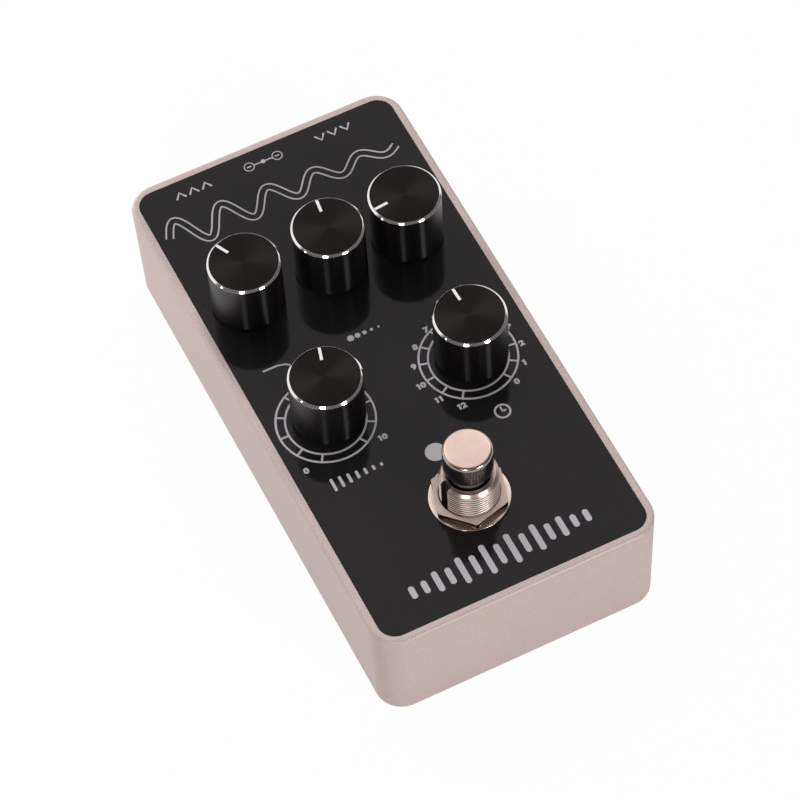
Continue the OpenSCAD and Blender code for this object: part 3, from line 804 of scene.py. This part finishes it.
# Rows of the bush as (radius, height, share of the helix), from the bore's foot round to its top
def bushRows(settings, radius, low, high, start, end):
    pitch = settings["pitch"]
    steps = settings["stepsPerTurn"]
    bore = settings["bore"]
    rows = [(bore, low, 0), (radius, low, 0), (radius, plateTop, 0)]
    rows.append((radius, plateTop + settings["seam"], 0))
    for k in range(math.ceil((end - start + pitch) / pitch * steps) + 1):
        groove = settings["depth"] * (1 - math.cos(2 * math.pi * k / steps)) / 2
        rows.append((radius - groove, start - pitch + k * pitch / steps, pitch))
    crown = softProfile([
        (radius, end + settings["seam"], 0),
        (radius, high - settings["cone"], settings["coneRound"]),
        (radius - settings["cone"], high, settings["coneRound"]),
        (settings["mouth"], high, settings["mouthRound"]),
        (settings["mouth"], high - settings["mouthDepth"], 0),
        (bore, high - settings["mouthDepth"], 0),
    ], 7)
    return rows + [(point.x, point.y, 0) for point in crown]


def addBush(settings):
    low, high = boxOf("switch_bush")
    radius = (high.y - low.y) / 2
    start = boxOf("switch_nut")[1].z - settings["threadUnderNut"]
    end = high.z - settings["cone"] - settings["coneRound"]
    slotHalf = settings["slotHalf"]
    slotAngle = math.asin(slotHalf / radius)
    floorX = settings["slotDepth"] - radius
    floorReach = math.hypot(floorX, slotHalf)
    first = slotAngle - math.pi
    count = settings["columns"]
    columns = [(-math.pi, True), (first, True)]
    columns += [(first - 2 * first * k / count, False) for k in range(count + 1)]
    columns += [(-first, True)]
    rows = bushRows(settings, radius, low.z, high.z, start, end)

    # A point of the bush: the helix lifts it, the ends stop it and the slot cuts it back
    def bushPoint(row, column):
        reach, height, helix = row
        angle, inSlot = column
        if helix:
            height += 0 if inSlot else helix * (angle + math.pi) / (2 * math.pi)
            if not start < height < end:
                reach = radius
                height = min(max(height, start), end)
        side = max(-slotHalf, min(slotHalf, reach * math.sin(angle)))
        cut = height > plateTop and reach > floorReach
        if cut and inSlot:
            return (floorX, side, height)
        if cut and abs(angle) >= -first - 1e-9:
            side = math.copysign(slotHalf, angle)
            return (-math.sqrt(reach ** 2 - side ** 2), side, height)
        return (reach * math.cos(angle), reach * math.sin(angle), height)

    # Painted shade: black inside the slot and the mouth of the bore, near-black and dull at the roots of
    # the thread; the crests are painted lighter
    def bushShade(row, column):
        reach, height, helix = rows[row]
        inSlot = columns[column][1] or columns[(column + 1) % len(columns)][1]
        if inSlot and reach > floorReach and height > plateTop:
            return 1
        if reach <= settings["mouth"] and height > plateTop:
            return int(height < high.z - settings["mouthRound"])
        rise = height + helix * (columns[column][0] + math.pi) / (2 * math.pi)
        if not helix or not start < rise < end - helix / settings["stepsPerTurn"]:
            return 0
        return 2 if radius - reach > settings["depth"] * settings["rootShare"] else 3

    form = bmesh.new()
    place = Matrix.Translation((*middleOf("switch_nut").xy, 0))
    loft(form, [[bushPoint(row, column) for column in columns] for row in rows], ring=True, tint=bushShade,
         place=place @ Matrix.Rotation(math.radians(settings["turn"]), 4, "Z"))
    # The black plastic inside the slot and the bore's mouth stands in for their shade: painted shade
    metals = [platedMetal("collarNickel", collarMetal), finishes["black_plastic"],
              platedMetal("paintedShadeMetal", paintedShadeMetal), platedMetal("threadCrestPaintedLight", threadCrestPaintedLight)]
    addPiece("switch_bush_threaded", form, "pedal", metals, ["switch_bush"])


addBush(bush)


# Six-sided nuts: the footswitch's and those of the plug sockets
nuts = {
    "sideAngles": (-30, -28.5, -20, -10, 0, 10, 20, 28.5),
    "cornerAngle": 28.5,
    "edge": 0.14,
    "edgeStep": 0.3,
    "switch": {"flats": 14.0, "bore": 6.05, "sink": 0.2, "turn": 44},
    "socket": {"flats": 13.0, "bore": 4.75, "sink": 0.5, "turn": 30},
}


def hexNut(form, size, height, place, settings):
    apothem = size["flats"] / 2
    edge = settings["edge"]
    angles = [math.radians(60 * side + step) for side in range(6) for step in settings["sideAngles"]]
    limit = math.cos(math.radians(settings["cornerAngle"]))
    reach = [apothem / max(math.cos(math.radians(step)), limit) for step in settings["sideAngles"]] * 6

    def flatLoop(inset, level):
        return [((r - inset) * math.cos(a), (r - inset) * math.sin(a), level)
                for r, a in zip(reach, angles)]

    loft(form, [
        roundLoop(size["bore"], 0, angles),
        roundLoop(size["bore"], height - size["sink"], angles),
        roundLoop(size["bore"] + size["sink"], height, angles),
        flatLoop(edge, height),
        flatLoop(edge * settings["edgeStep"], height - edge * settings["edgeStep"]),
        flatLoop(0, height - edge),
        flatLoop(0, edge),
        flatLoop(edge, 0),
    ], ring=True, place=place @ Matrix.Rotation(math.radians(size["turn"]), 4, "Z"))


washers = {
    "edge": 0.14,
    "switchHole": 6.2,
    "socketHole": 4.9,
}


def washer(form, hole, outer, height, place, settings):
    edge = settings["edge"]
    profile = softProfile([(hole, 0, 0), (hole, height, edge), (outer, height, edge), (outer, 0, edge),
                           (hole, 0, 0)])
    turned(form, profile, place, columns=120)


# Return spring under the button
spring = {
    "wire": 0.7,
    "turns": 4,
    "turnSteps": 48,
    "wireSides": 14,
    "travel": 2.2,
}


def addSpring(settings):
    low, high = boxOf("switch_spring")
    centre = (low + high) / 2
    wireRadius = settings["wire"] / 2
    coilRadius = (high.x - low.x) / 2 - wireRadius
    slope = math.atan((high.z - low.z) / (2 * math.pi * coilRadius * settings["turns"]))
    rise = high.z - low.z - settings["wire"] * math.cos(slope)
    steps = settings["turns"] * settings["turnSteps"]
    wireTurns = [2 * math.pi * side / settings["wireSides"] for side in range(settings["wireSides"])]
    loops = []
    for step in range(steps + 1):
        angle = 2 * math.pi * step / settings["turnSteps"]
        outward = Vector((math.cos(angle), math.sin(angle), 0))
        along = Vector((-math.sin(angle), math.cos(angle), 0))
        upward = Vector((0, 0, math.cos(slope))) - along * math.sin(slope)
        core = centre + Vector((0, 0, rise * (step / steps - 0.5))) + outward * coilRadius
        loops.append([core + (outward * math.cos(turn) + upward * math.sin(turn)) * wireRadius
                      for turn in wireTurns])
    form = bmesh.new()
    loft(form, loops, capped=True)
    piece = addPiece("switch_spring_coil", form, "pedal", [finishes["spring_steel"]],
                     ["switch_spring"])
    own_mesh(piece)


addSpring(spring)


# Nut and washer of the footswitch
def addSwitchFixings():
    centre = middleOf("switch_nut")
    low, high = boxOf("switch_nut")
    form = bmesh.new()
    hexNut(form, nuts["switch"], high.z - low.z, Matrix.Translation((centre.x, centre.y, low.z)), nuts)
    metal = platedMetal("nutNickel", nutMetal, high.z - nuts["edge"] / 2)
    addPiece("switch_nut_hex", form, "pedal", [metal], ["switch_nut"])
    low, high = boxOf("switch_washer")
    form = bmesh.new()
    washer(form, washers["switchHole"], (high.x - low.x) / 2, high.z - low.z,
           Matrix.Translation((centre.x, centre.y, low.z)), washers)
    addPiece("switch_washer_flat", form, "pedal", [finishes["nickel"]], ["switch_washer"])


addSwitchFixings()


# Nuts and washers of the two plug sockets, on axes that point out of the back wall
def addSocketFixings():
    outward = Matrix.Rotation(math.radians(-90), 4, "X")
    nutForm = bmesh.new()
    washerForm = bmesh.new()
    for node in ("input_jack", "output_jack"):
        centre = middleOf(node)
        low, high = boxOf("jack_nuts")
        level = (low.z + high.z) / 2
        place = Matrix.Translation((centre.x, low.y, level)) @ outward
        hexNut(nutForm, nuts["socket"], high.y - low.y, place, nuts)
        low, high = boxOf("jack_washers")
        place = Matrix.Translation((centre.x, low.y, level)) @ outward
        washer(washerForm, washers["socketHole"], (high.z - low.z) / 2, high.y - low.y, place, washers)
    addPiece("socket_nuts", nutForm, "pedal", [finishes["nickel"]], ["jack_nuts"])
    addPiece("socket_washers", washerForm, "pedal", [finishes["nickel"]], ["jack_washers"])


addSocketFixings()
print("footswitch and sockets made")


# Rubber mat under the base, with soft edges
mat = {
    "corner": 3.0,
    "edge": 0.35,
    "cornerSteps": 10,
}


def addMat(settings):
    low, high = boxOf("base_pad")
    middle = (low + high) / 2
    corner = settings["corner"]
    edge = settings["edge"]

    def matLoop(inset, level):
        loop = []
        for quarter in range(4):
            spin = quarter * math.pi / 2
            signX = 1 if quarter in (0, 3) else -1
            signY = 1 if quarter < 2 else -1
            centre = (middle.x + signX * (high.x - middle.x - corner),
                      middle.y + signY * (high.y - middle.y - corner))
            for k in range(settings["cornerSteps"] + 1):
                angle = spin + math.pi / 2 * k / settings["cornerSteps"]
                x, y = onCircle(centre, corner - inset, math.degrees(angle))
                loop.append((x, y, level))
        return loop

    form = bmesh.new()
    inner = edge * 2
    section = softProfile([(inner, low.z, 0), (0, low.z, edge), (0, high.z, edge), (inner, high.z, 0)])
    loft(form, [matLoop(point.x, point.y) for point in section], capped=True)
    addPiece("base_mat", form, "pedal", [finishes["rubber"]], ["base_pad"])


addMat(mat)
print("mat made")


# Flat ink shapes on the face plate, in millimetres
inkTop = plateTop + ink["thickness"]


def inkPolygon(form, outline):
    prism(form, outline, plateTop, inkTop)


def inkRing(form, centre, outer, inner, steps=144):
    section = ((inner, plateTop), (outer, plateTop), (outer, inkTop), (inner, inkTop))
    loft(form, [[(*onCircle(centre, radius, 360 * k / steps), height) for k in range(steps)]
                for radius, height in section], ring=True)


def inkDisc(form, centre, radius, steps=48):
    inkPolygon(form, [onCircle(centre, radius, 360 * k / steps) for k in range(steps)])


def inkBar(form, start, end, width):
    first = Vector(start)
    last = Vector(end)
    side = (last - first).orthogonal().normalized() * (width / 2)
    inkPolygon(form, [first + side, first - side, last - side, last + side])


# Upright bar with round ends
def inkPill(form, centre, width, height, steps=12):
    half = width / 2
    rise = max(height / 2 - half, 0)
    outline = []
    for start, shift in ((0, rise), (180, -rise)):
        end = (centre[0], centre[1] + shift)
        outline += [onCircle(end, half, start + 180 * k / steps) for k in range(steps + 1)]
    inkPolygon(form, outline)


# Evenly spaced places of a row about its middle
def spread(middle, row):
    return [middle + (k - (row["count"] - 1) / 2) * row["pitch"] for k in range(row["count"])]


# Direction to the side of a path at its point k
def sideOf(points, k):
    before = points[max(k - 1, 0)]
    after = points[min(k + 1, len(points) - 1)]
    return (after - before).orthogonal().normalized()


# Line of even width along a path
def inkStroke(form, path, width):
    points = [Vector(p) for p in path]
    loops = []
    for k, point in enumerate(points):
        left = point + sideOf(points, k) * (width / 2)
        right = point - sideOf(points, k) * (width / 2)
        loops.append([(*left, plateTop), (*right, plateTop), (*right, inkTop), (*left, inkTop)])
    loft(form, loops, capped=True)


# One digit from the built-in font, thickened. Its 6 does not fill at this weight, so a 9 is turned over
def fontDigit(form, digit, spot, settings):
    data = bpy.data.curves.new("digit", "FONT")
    data.body = digit.replace("6", "9")
    data.size = settings["height"] / settings["capShare"]
    data.offset = settings["weight"]
    data.extrude = ink["thickness"] / 2
    data.align_x = "CENTER"
    data.align_y = "CENTER"
    drawn = bpy.data.objects.new("digit", data)
    mesh = bpy.data.meshes.new_from_object(drawn)
    if digit == "6":
        heights = [vertex.co.y for vertex in mesh.vertices]
        middle = Vector((0, (min(heights) + max(heights)) / 2, 0))
        flip = Matrix.Rotation(math.pi, 4, "Z")
        mesh.transform(Matrix.Translation(middle) @ flip @ Matrix.Translation(-middle))
    place = Matrix.Translation((spot[0], spot[1], plateTop + ink["thickness"] / 2))
    mesh.transform(place @ Matrix.Diagonal((settings["stretch"], 1, 1, 1)))
    form.from_mesh(mesh)
    bpy.data.objects.remove(drawn)
    bpy.data.meshes.remove(mesh)
    bpy.data.curves.remove(data)


# A number set digit by digit: the 1 is drawn with a flag, which the font's own lacks
def inkNumeral(form, number, centre, settings):
    digits = str(number)
    advances = [settings["oneAdvance"] if digit == "1" else settings["advance"] for digit in digits]
    left = -sum(advances) / 2
    for digit, advance in zip(digits, advances):
        spot = (centre[0] + (left + advance / 2) * settings["stretch"], centre[1])
        left += advance
        if digit == "1":
            inkPolygon(form, [(spot[0] + x * settings["stretch"], spot[1] + y) for x, y in settings["one"]])
        else:
            fontDigit(form, digit, spot, settings)


# Ink on the plate: the dials round the knobs are too faint to be mirrored in them
def addInk(name, form, mirrored=True):
    piece = addPiece(name, form, "pedal", [inkMaterial])
    piece.visible_glossy = mirrored


dials = {
    "repeats": {"centre": (-17.2, -8.1), "ticks": [240 - 30 * k for k in range(11)],
                "numbers": {0: (-25.8, -17.2), 10: (-9.0, -17.1)}},
    "time": {"centre": (14.6, -7.9), "ticks": [302.5 + 24.5 * k for k in range(13)],
             "numberCentre": (14.55, -8.25), "numberRadius": 11.15, "wideRadius": 11.5},
    "outer": 10.0,
    "inner": 8.1,
    "line": 0.42,
}
numerals = {
    "height": 1.22,
    "capShare": 0.72,
    "weight": 0.10,
    "stretch": 1.2,
    "advance": 0.98,
    "oneAdvance": 0.77,
    "one": [(0.27, -0.61), (0.27, 0.75), (0.00, 0.75), (-0.27, 0.62), (-0.27, 0.34), (-0.10, 0.41),
            (-0.10, -0.61)],
}


def addDial(name, settings):
    dial = settings[name]
    centre = dial["centre"]
    line = settings["line"]
    form = bmesh.new()
    for radius in (settings["outer"], settings["inner"]):
        inkRing(form, centre, radius + line / 2, radius - line / 2)
    for angle in dial["ticks"]:
        inkBar(form, onCircle(centre, settings["inner"] + line / 2, angle),
               onCircle(centre, settings["outer"] - line / 2, angle), line)
    numbers = dial.get("numbers")
    if numbers is None:
        numbers = {}
        for k, angle in enumerate(dial["ticks"]):
            radius = dial["wideRadius"] if k > 9 else dial["numberRadius"]
            numbers[k] = onCircle(dial["numberCentre"], radius, angle)
    for number, spot in numbers.items():
        inkNumeral(form, number, spot, numerals)
    addInk(name + "_dial_print", form, False)


addDial("repeats", dials)
addDial("time", dials)


# Fading wave across the top of the plate, drawn as a double line
wave = {
    "from": -26.4,
    "to": 25.2,
    "height": 46.6,
    "swing": 4.0,
    "fade": 0.72,
    "periods": 5,
    "gap": 1.5,
    "line": 0.34,
    "steps": 420,
}


def addWave(settings):
    form = bmesh.new()
    length = settings["to"] - settings["from"]
    path = []
    for k in range(settings["steps"] + 1):
        share = k / settings["steps"]
        swing = settings["swing"] * (1 - settings["fade"] * share)
        height = settings["height"] + swing * math.sin(2 * math.pi * settings["periods"] * share)
        path.append(Vector((settings["from"] + length * share, height)))
    for side in (-1, 1):
        shift = side * settings["gap"] / 2
        inkStroke(form, [point + sideOf(path, k) * shift for k, point in enumerate(path)], settings["line"])
    addInk("top_wave_print", form)


addWave(wave)


# Bold bars at the foot of the plate, tallest in the middle
bars = {
    "count": 15,
    "pitch": 2.7,
    "width": 1.25,
    "tall": 7.2,
    "short": 1.9,
    "dip": 0.55,
    "centre": (-0.6, -51.8),
}


def addBars(settings):
    form = bmesh.new()
    half = (settings["count"] - 1) / 2
    for k, x in enumerate(spread(settings["centre"][0], settings)):
        share = math.cos(math.pi / 2 * (k - half) / (half + 1))
        dip = settings["dip"] if k % 2 else 1.0
        height = settings["short"] + (settings["tall"] - settings["short"]) * share * dip
        inkPill(form, (x, settings["centre"][1]), settings["width"], height)
    addInk("foot_bars_print", form)


addBars(bars)


# Small signs at the sockets: arrows out and in, and the power plug's polarity
socketSigns = {
    "height": 55.7,
    "output": -17.0,
    "power": -1.0,
    "input": 15.1,
    "pitch": 2.9,
    "span": 2.1,
    "rise": 1.5,
    "line": 0.42,
    "thinLine": 0.294,
    "poleRadius": 1.05,
    "poleLine": 0.21,
    "poleGap": 3.2,
    "minus": 0.5,
    "dot": 0.5,
}


def addSocketSigns(settings):
    form = bmesh.new()
    line = settings["line"]
    level = settings["height"]
    for name, point in (("output", 1), ("input", -1)):
        for k in (-1, 0, 1):
            x = settings[name] + k * settings["pitch"]
            half = settings["span"] / 2
            low = level - point * settings["rise"] / 2
            tip = level + point * settings["rise"] / 2
            inkStroke(form, [(x - half, low), (x, tip), (x + half, low)], line)
    x = settings["power"]
    outer = settings["poleRadius"] + settings["poleLine"] / 2
    for side in (-1, 1):
        poleX = x + side * settings["poleGap"]
        inkRing(form, (poleX, level), outer, outer - settings["poleLine"], 48)
        for start, end in ((poleX - settings["minus"], poleX + settings["minus"]),
                           (x + side * settings["dot"], poleX - side * outer)):
            inkBar(form, (start, level), (end, level), settings["thinLine"])
    inkDisc(form, (x, level), settings["dot"], 24)
    addInk("socket_signs_print", form)


addSocketSigns(socketSigns)


# Signs under the knobs: a bent line, fading dots, rising bars, shrinking bars and a clock
knobSigns = {
    "upper": 7.2,
    "lower": -22.6,
    "line": 0.42,
    "tone": -19.4,
    "bend": [(-4.0, 0.9), (-0.8, 0.9), (0.9, 0.4), (2.4, -1.1), (4.0, -1.1)],
    "age": -1.2,
    "dots": {"count": 5, "pitch": 1.55, "radius": 0.72, "less": 0.12},
    "level": 17.7,
    "rising": {"count": 6, "pitch": 1.35, "width": 0.55, "height": 0.7, "more": 0.42, "foot": -1.4},
    "repeats": -17.2,
    "shrinking": {"count": 7, "pitch": 1.75, "width": 0.62, "height": 3.1, "less": 0.38},
    "time": 14.8,
    "clock": {"radius": 1.75, "longHand": 1.15, "shortHand": 0.8},
}


def addKnobSigns(settings):
    form = bmesh.new()
    line = settings["line"]
    upper = settings["upper"]
    lower = settings["lower"]
    inkStroke(form, [(settings["tone"] + x, upper + y) for x, y in settings["bend"]], line)
    dots = settings["dots"]
    for k, x in enumerate(spread(settings["age"], dots)):
        inkDisc(form, (x, upper), dots["radius"] - dots["less"] * k, 32)
    rising = settings["rising"]
    for k, x in enumerate(spread(settings["level"], rising)):
        height = rising["height"] + rising["more"] * k
        inkPill(form, (x, upper + rising["foot"] + height / 2), rising["width"], height)
    shrinking = settings["shrinking"]
    for k, x in enumerate(spread(settings["repeats"], shrinking)):
        inkPill(form, (x, lower), shrinking["width"], shrinking["height"] - shrinking["less"] * k)
    clock = settings["clock"]
    x = settings["time"]
    inkRing(form, (x, lower), clock["radius"], clock["radius"] - line, 64)
    inkBar(form, (x, lower), (x, lower + clock["longHand"]), line)
    inkBar(form, (x, lower), (x + clock["shortHand"], lower), line)
    addInk("knob_signs_print", form)


addKnobSigns(knobSigns)
print("plate print made")


# White sweep with a dimmer room behind the camera, and a floor that keeps a soft shadow
stage = {
    "size": 6.0,
    "drop": 0.05,
    "floor": shade(0.74, 0.69, 0.67),
    "whiteShare": 0.975,
    "bright": 1.0,
    "dim": 0.14,
    "roomTowards": (0.366, 0.93),
    "roomEdge": (-0.30, -0.10),
    "ambient": 0.55,
}


# 1 for what looks straight at the surround or mirrors it, 0 for its light on the object
def seesSurround(wire):
    path = {name: wire.node("ShaderNodeLightPath", out=name)
            for name in ("Is Camera Ray", "Is Glossy Ray", "Is Transmission Ray")}
    seen = path["Is Camera Ray"] + path["Is Glossy Ray"] + path["Is Transmission Ray"]
    return wire.calc("MINIMUM", seen, 1)


def addWorld(settings, view):
    world = bpy.data.worlds.new("studio")
    world.use_nodes = True
    world.node_tree.nodes.clear()
    wire = Wire(world.node_tree)
    direction = wire.node("ShaderNodeTexCoord", out="Generated")
    right, near = levelAxes(view)
    roomAxis = settings["roomTowards"][0] * right + settings["roomTowards"][1] * near
    reach = wire.node("ShaderNodeVectorMath", {"operation": "DOT_PRODUCT"},
                      {0: direction, 1: roomAxis}, "Value")
    start, end = settings["roomEdge"]
    room = wire.node("ShaderNodeMapRange", {"interpolation_type": "SMOOTHSTEP"},
                     {"Value": reach, "From Min": start, "From Max": end})
    room = room * (1 - wire.node("ShaderNodeLightPath", out="Is Camera Ray"))
    level = settings["bright"] - room * (settings["bright"] - settings["dim"])
    share = seesSurround(wire) * (1 - settings["ambient"]) + settings["ambient"]
    surround = wire.node("ShaderNodeBackground", None,
                         {"Color": shade(1, 1, 1), "Strength": level * share})
    wire.node("ShaderNodeOutputWorld", None, {"Surface": surround})
    bpy.context.scene.world = world


def addFloor(settings):
    material, wire, _ = startMaterial("studioFloor")
    lit = wire.node("ShaderNodeBsdfDiffuse", None, {"Color": settings["floor"]})
    white = wire.node("ShaderNodeEmission", None, {"Color": shade(1, 1, 1), "Strength": 1.0})
    mixed = wire.node("ShaderNodeMixShader", None,
                      {0: seesSurround(wire) * settings["whiteShare"], 1: lit, 2: white})
    wire.node("ShaderNodeOutputMaterial", None, {"Surface": mixed})
    half = settings["size"] / 2
    level = -settings["drop"] * mm
    mesh = bpy.data.meshes.new("studioFloor")
    corners = ((-half, -half), (half, -half), (half, half), (-half, half))
    mesh.from_pydata([(x, y, level) for x, y in corners], [], [(0, 1, 2, 3)])
    mesh.materials.append(material)
    floor = bpy.data.objects.new("studioFloor", mesh)
    bpy.context.scene.collection.objects.link(floor)


addWorld(stage, cameraView)
addFloor(stage)


# Soft lamps: direction as shares to the camera's right, towards it and up, distance, side, power, and if
# polished metal shows them
lamps = {
    "frontLamp": ((-0.192, 0.812, 0.552), 0.9, 0.15, 1.7, True),
    "rightLamp": ((0.592, 0.642, 0.487), 0.9, 0.15, 2.8, True),
    "leftLamp": ((-0.844, 0.353, 0.404), 0.9, 0.04, 0.1, True),
    "backLamp": ((-0.737, -0.661, 0.152), 0.348, 0.20, 0.88, False),
    "frontFill": ((0.30, 0.85, 0.43), 0.9, 0.30, 0.95, False),
    "topFill": ((0.0, -0.2, 0.98), 0.9, 0.60, 1.25, False),
    "topLeftLamp": ((-0.340, -0.461, 0.820), 0.9, 0.35, 0.52, True),
    "topRightLamp": ((0.316, -0.637, 0.703), 0.9, 0.35, 0.52, True),
}


def addLamps(settings, view):
    right, near = levelAxes(view)
    for name, (shares, distance, side, power, mirrored) in settings.items():
        aim = (shares[0] * right + shares[1] * near + shares[2] * Vector((0, 0, 1))).normalized()
        data = bpy.data.lights.new(name, "AREA")
        data.size = side
        data.energy = power
        lamp = bpy.data.objects.new(name, data)
        bpy.context.scene.collection.objects.link(lamp)
        lamp.location = Vector(view["target"]) * mm + aim * distance
        lamp.rotation_euler = aim.to_track_quat("Z", "Y").to_euler()
        lamp.visible_glossy = mirrored


addLamps(lamps, cameraView)
print("stage and lamps set")
